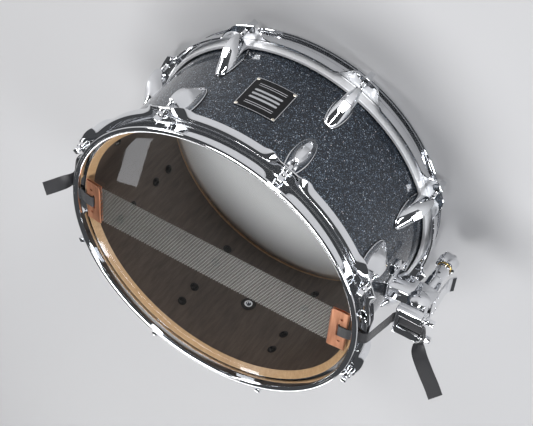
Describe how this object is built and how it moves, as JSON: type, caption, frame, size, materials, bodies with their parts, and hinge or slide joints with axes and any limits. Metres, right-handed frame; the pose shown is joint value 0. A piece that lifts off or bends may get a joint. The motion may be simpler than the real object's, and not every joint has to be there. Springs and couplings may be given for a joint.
{
  "type": "snare drum",
  "caption": "Shallow cylindrical drum with two heads in flanged hoops, teardrop lugs, tension rods, coiled snare wires, a throw-off strainer and a butt plate.",
  "frame": {"origin": "centre of the batter head's outer face", "axes": "+Z along the drum's axis, out of the snare side; the badge faces -Y and the strainer -X"},
  "size_m": [0.518, 0.3816, 0.2049],
  "materials": {
    "sparkle_wrap": "glossy dark blue-black wrap with fine silver flakes over plied maple",
    "badge": "satin black with a bright border",
    "coated_film": "coated white film",
    "clear_film": "clear glossy film",
    "flesh_hoop": "satin",
    "snare_steel": "coiled steel strands",
    "copper": "satin copper plate",
    "strap": "woven satin ribbon",
    "chrome": "polished chrome"
  },
  "bodies": {
    "drum": {"shell": "sparkle_wrap", "vent_grommet": "chrome", "badge": "badge", "batter_head_film": "coated_film", "batter_flesh_hoop": "flesh_hoop", "batter_hoop": "chrome", "snare_head_film": "clear_film", "snare_flesh_hoop": "flesh_hoop", "snare_hoop": "chrome", "snare_wires": "snare_steel", "strainer_end_plate": "copper", "butt_end_plate": "copper", "strainer_strap": "strap", "butt_strap": "strap", "strainer_base": "chrome", "strainer_housing": "chrome", "butt_base": "chrome", "butt_clamp_plate": "chrome", "butt_clamp_screw_left": "chrome", "butt_clamp_screw_right": "chrome", "batter_lug_1": "chrome", "batter_lug_2": "chrome", "batter_lug_3": "chrome", "batter_lug_4": "chrome", "batter_lug_5": "chrome", "batter_lug_6": "chrome", "batter_lug_7": "chrome", "batter_lug_8": "chrome", "snare_lug_1": "chrome", "snare_lug_2": "chrome", "snare_lug_3": "chrome", "snare_lug_4": "chrome", "snare_lug_5": "chrome", "snare_lug_6": "chrome", "snare_lug_7": "chrome", "snare_lug_8": "chrome"},
    "lever": {"throw_off_lever": "chrome"},
    "strap_clamp": {"strap_clamp_block": "chrome", "strap_clamp_plate": "chrome", "strap_clamp_screw_left": "chrome", "strap_clamp_screw_right": "chrome", "strainer_strap_tail": "strap"},
    "adjuster": {"adjuster_knob": "chrome"},
    "batter_tension_rod_1": {"batter_rod_1": "chrome"},
    "batter_tension_rod_2": {"batter_rod_2": "chrome"},
    "batter_tension_rod_3": {"batter_rod_3": "chrome"},
    "batter_tension_rod_4": {"batter_rod_4": "chrome"},
    "batter_tension_rod_5": {"batter_rod_5": "chrome"},
    "batter_tension_rod_6": {"batter_rod_6": "chrome"},
    "batter_tension_rod_7": {"batter_rod_7": "chrome"},
    "batter_tension_rod_8": {"batter_rod_8": "chrome"},
    "snare_tension_rod_1": {"snare_rod_1": "chrome"},
    "snare_tension_rod_2": {"snare_rod_2": "chrome"},
    "snare_tension_rod_3": {"snare_rod_3": "chrome"},
    "snare_tension_rod_4": {"snare_rod_4": "chrome"},
    "snare_tension_rod_5": {"snare_rod_5": "chrome"},
    "snare_tension_rod_6": {"snare_rod_6": "chrome"},
    "snare_tension_rod_7": {"snare_rod_7": "chrome"},
    "snare_tension_rod_8": {"snare_rod_8": "chrome"}
  },
  "joints": [
    {"name": "throw_off", "type": "hinge", "parent": "drum", "child": "lever", "pos_m": [-0.218, 0, 0.11], "axis": [0, 1, 0], "range_deg": [0, 85]},
    {"name": "clamp_slide", "type": "slide", "parent": "drum", "child": "strap_clamp", "axis": [0, 0, 1], "range_m": [0, 0.008], "deforming": ["strainer_strap"]},
    {"name": "adjuster_turn", "type": "hinge", "parent": "drum", "child": "adjuster", "pos_m": [-0.217, 0, 0.033], "axis": [0, 0, 1], "continuous": true},
    {"name": "batter_rod_1_turn", "type": "hinge", "parent": "drum", "child": "batter_tension_rod_1", "pos_m": [0.17877, -0.07405, 0.0092], "axis": [0, 0, 1], "continuous": true},
    {"name": "batter_rod_2_turn", "type": "hinge", "parent": "drum", "child": "batter_tension_rod_2", "pos_m": [0.07405, -0.17877, 0.0092], "axis": [0, 0, 1], "continuous": true},
    {"name": "batter_rod_3_turn", "type": "hinge", "parent": "drum", "child": "batter_tension_rod_3", "pos_m": [-0.07405, -0.17877, 0.0092], "axis": [0, 0, 1], "continuous": true},
    {"name": "batter_rod_4_turn", "type": "hinge", "parent": "drum", "child": "batter_tension_rod_4", "pos_m": [-0.17877, -0.07405, 0.0092], "axis": [0, 0, 1], "continuous": true},
    {"name": "batter_rod_5_turn", "type": "hinge", "parent": "drum", "child": "batter_tension_rod_5", "pos_m": [-0.17877, 0.07405, 0.0092], "axis": [0, 0, 1], "continuous": true},
    {"name": "batter_rod_6_turn", "type": "hinge", "parent": "drum", "child": "batter_tension_rod_6", "pos_m": [-0.07405, 0.17877, 0.0092], "axis": [0, 0, 1], "continuous": true},
    {"name": "batter_rod_7_turn", "type": "hinge", "parent": "drum", "child": "batter_tension_rod_7", "pos_m": [0.07405, 0.17877, 0.0092], "axis": [0, 0, 1], "continuous": true},
    {"name": "batter_rod_8_turn", "type": "hinge", "parent": "drum", "child": "batter_tension_rod_8", "pos_m": [0.17877, 0.07405, 0.0092], "axis": [0, 0, 1], "continuous": true},
    {"name": "snare_rod_1_turn", "type": "hinge", "parent": "drum", "child": "snare_tension_rod_1", "pos_m": [0.17877, 0.07405, 0.1702], "axis": [0, 0, 1], "continuous": true},
    {"name": "snare_rod_2_turn", "type": "hinge", "parent": "drum", "child": "snare_tension_rod_2", "pos_m": [0.07405, 0.17877, 0.1702], "axis": [0, 0, 1], "continuous": true},
    {"name": "snare_rod_3_turn", "type": "hinge", "parent": "drum", "child": "snare_tension_rod_3", "pos_m": [-0.07405, 0.17877, 0.1702], "axis": [0, 0, 1], "continuous": true},
    {"name": "snare_rod_4_turn", "type": "hinge", "parent": "drum", "child": "snare_tension_rod_4", "pos_m": [-0.17877, 0.07405, 0.1702], "axis": [0, 0, 1], "continuous": true},
    {"name": "snare_rod_5_turn", "type": "hinge", "parent": "drum", "child": "snare_tension_rod_5", "pos_m": [-0.17877, -0.07405, 0.1702], "axis": [0, 0, 1], "continuous": true},
    {"name": "snare_rod_6_turn", "type": "hinge", "parent": "drum", "child": "snare_tension_rod_6", "pos_m": [-0.07405, -0.17877, 0.1702], "axis": [0, 0, 1], "continuous": true},
    {"name": "snare_rod_7_turn", "type": "hinge", "parent": "drum", "child": "snare_tension_rod_7", "pos_m": [0.07405, -0.17877, 0.1702], "axis": [0, 0, 1], "continuous": true},
    {"name": "snare_rod_8_turn", "type": "hinge", "parent": "drum", "child": "snare_tension_rod_8", "pos_m": [0.17877, -0.07405, 0.1702], "axis": [0, 0, 1], "continuous": true}
  ],
  "couplings": [
    {"joint": "clamp_slide", "follows": "throw_off", "m_per_rad": 0.00539}
  ]
}
